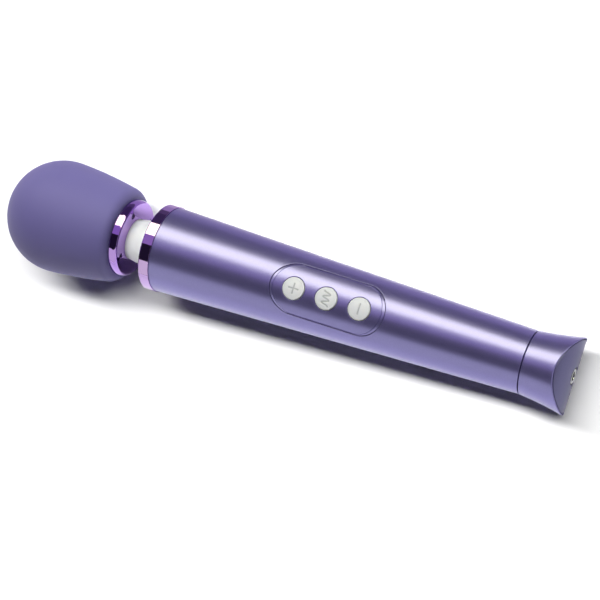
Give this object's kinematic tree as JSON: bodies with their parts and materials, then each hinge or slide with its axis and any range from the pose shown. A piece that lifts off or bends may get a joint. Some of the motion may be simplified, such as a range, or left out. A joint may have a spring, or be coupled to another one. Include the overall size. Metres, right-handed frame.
{
  "type": "handheld wand massager",
  "caption": "Cordless wand massager: ball head on a flexible neck, tapered handle with inset keypad, flared tail with charging port, motor and cell inside.",
  "frame": {"origin": "on the wand's axis, halfway between the tip of the head and the end face of the tail", "axes": "+X along the wand from the head to the tail, +Z out of the buttons, +Y completes a right-handed frame"},
  "size_m": [0.254, 0.048, 0.048],
  "materials": {
    "purple_silicone": "matt silicone skin with a soft sheen",
    "white_silicone": "satin silicone",
    "purple_mirror": "mirror metallised purple",
    "purple_metallic": "satin metallic lacquer",
    "purple_satin": "duller satin metallic lacquer",
    "black_abs": "moulded, lightly textured",
    "black_rubber": "matt",
    "dark_screw": "dark plated",
    "zinc_steel": "zinc plated",
    "bright_steel": "ground and polished",
    "port_nickel": "bright nickel plate",
    "ferrite": "dull grey",
    "bronze": "sintered",
    "copper": "enamelled and bare copper",
    "lead_red": "insulated wire",
    "board_green": "solder mask",
    "chip_black": "moulded epoxy",
    "cell_wrap": "shrink wrap"
  },
  "bodies": {
    "handle": {"front_ring": "purple_mirror", "neck_retainer": "black_abs", "retainer_screws": "zinc_steel", "handle_shell": "purple_metallic", "control_panel": "purple_metallic", "switch_bodies": "zinc_steel", "control_board": "board_green", "control_chips": "chip_black", "board_screws": "zinc_steel", "chassis": "black_abs", "battery_cell": "cell_wrap", "battery_tabs": "bright_steel", "battery_leads": "lead_red", "motor_leads": "lead_red", "charging_board": "board_green", "charging_parts": "chip_black", "port_leads": "lead_red", "tail_seal": "black_rubber", "tail_cap": "purple_metallic", "tail_screws": "zinc_steel", "end_plate": "purple_satin", "port_housing": "black_abs", "port_sleeve": "port_nickel", "port_pin": "port_nickel"},
    "neck": {"neck_sleeve": "white_silicone", "neck_spring": "bright_steel", "neck_core": "white_silicone", "neck_leads": "lead_red"},
    "head": {"head_cover": "purple_silicone", "head_shell": "black_abs", "head_flange": "purple_mirror", "head_screws": "dark_screw", "motor_cradle": "black_abs", "motor_sleeve": "black_rubber", "motor_can": "zinc_steel", "motor_end_bell": "black_abs", "field_magnets": "ferrite", "motor_bushes": "bronze", "motor_brushes": "copper", "neck_clamp": "black_abs", "head_leads": "lead_red"},
    "rotor": {"rotor_shaft": "bright_steel", "armature_core": "ferrite", "armature_windings": "copper", "commutator": "copper", "eccentric_weight": "zinc_steel"},
    "plus_key": {"button_plus": "white_silicone", "plunger_plus": "black_abs"},
    "mode_key": {"button_mode": "white_silicone", "plunger_mode": "black_abs"},
    "minus_key": {"button_minus": "white_silicone", "plunger_minus": "black_abs"}
  },
  "joints": [
    {"name": "neck_pitch", "type": "hinge", "parent": "handle", "child": "neck", "pos_m": [-0.062, 0, 0], "axis": [0, 1, 0], "range_deg": [-15, 15], "stiffness_Nm_per_rad": 4, "deforming": ["neck_sleeve", "neck_spring", "neck_leads"]},
    {"name": "neck_yaw", "type": "hinge", "parent": "neck", "child": "head", "pos_m": [-0.062, 0, 0], "axis": [0, 0, 1], "range_deg": [-15, 15], "stiffness_Nm_per_rad": 4},
    {"name": "rotor_spin", "type": "hinge", "parent": "head", "child": "rotor", "pos_m": [-0.095, 0, 0], "axis": [1, 0, 0], "continuous": true},
    {"name": "plus_press", "type": "slide", "parent": "handle", "child": "plus_key", "axis": [0, 0, -1], "range_m": [0, 0.0006], "stiffness_N_per_m": 1500},
    {"name": "mode_press", "type": "slide", "parent": "handle", "child": "mode_key", "axis": [0, 0, -1], "range_m": [0, 0.0006], "stiffness_N_per_m": 1500},
    {"name": "minus_press", "type": "slide", "parent": "handle", "child": "minus_key", "axis": [0, 0, -1], "range_m": [0, 0.0006], "stiffness_N_per_m": 1500}
  ]
}
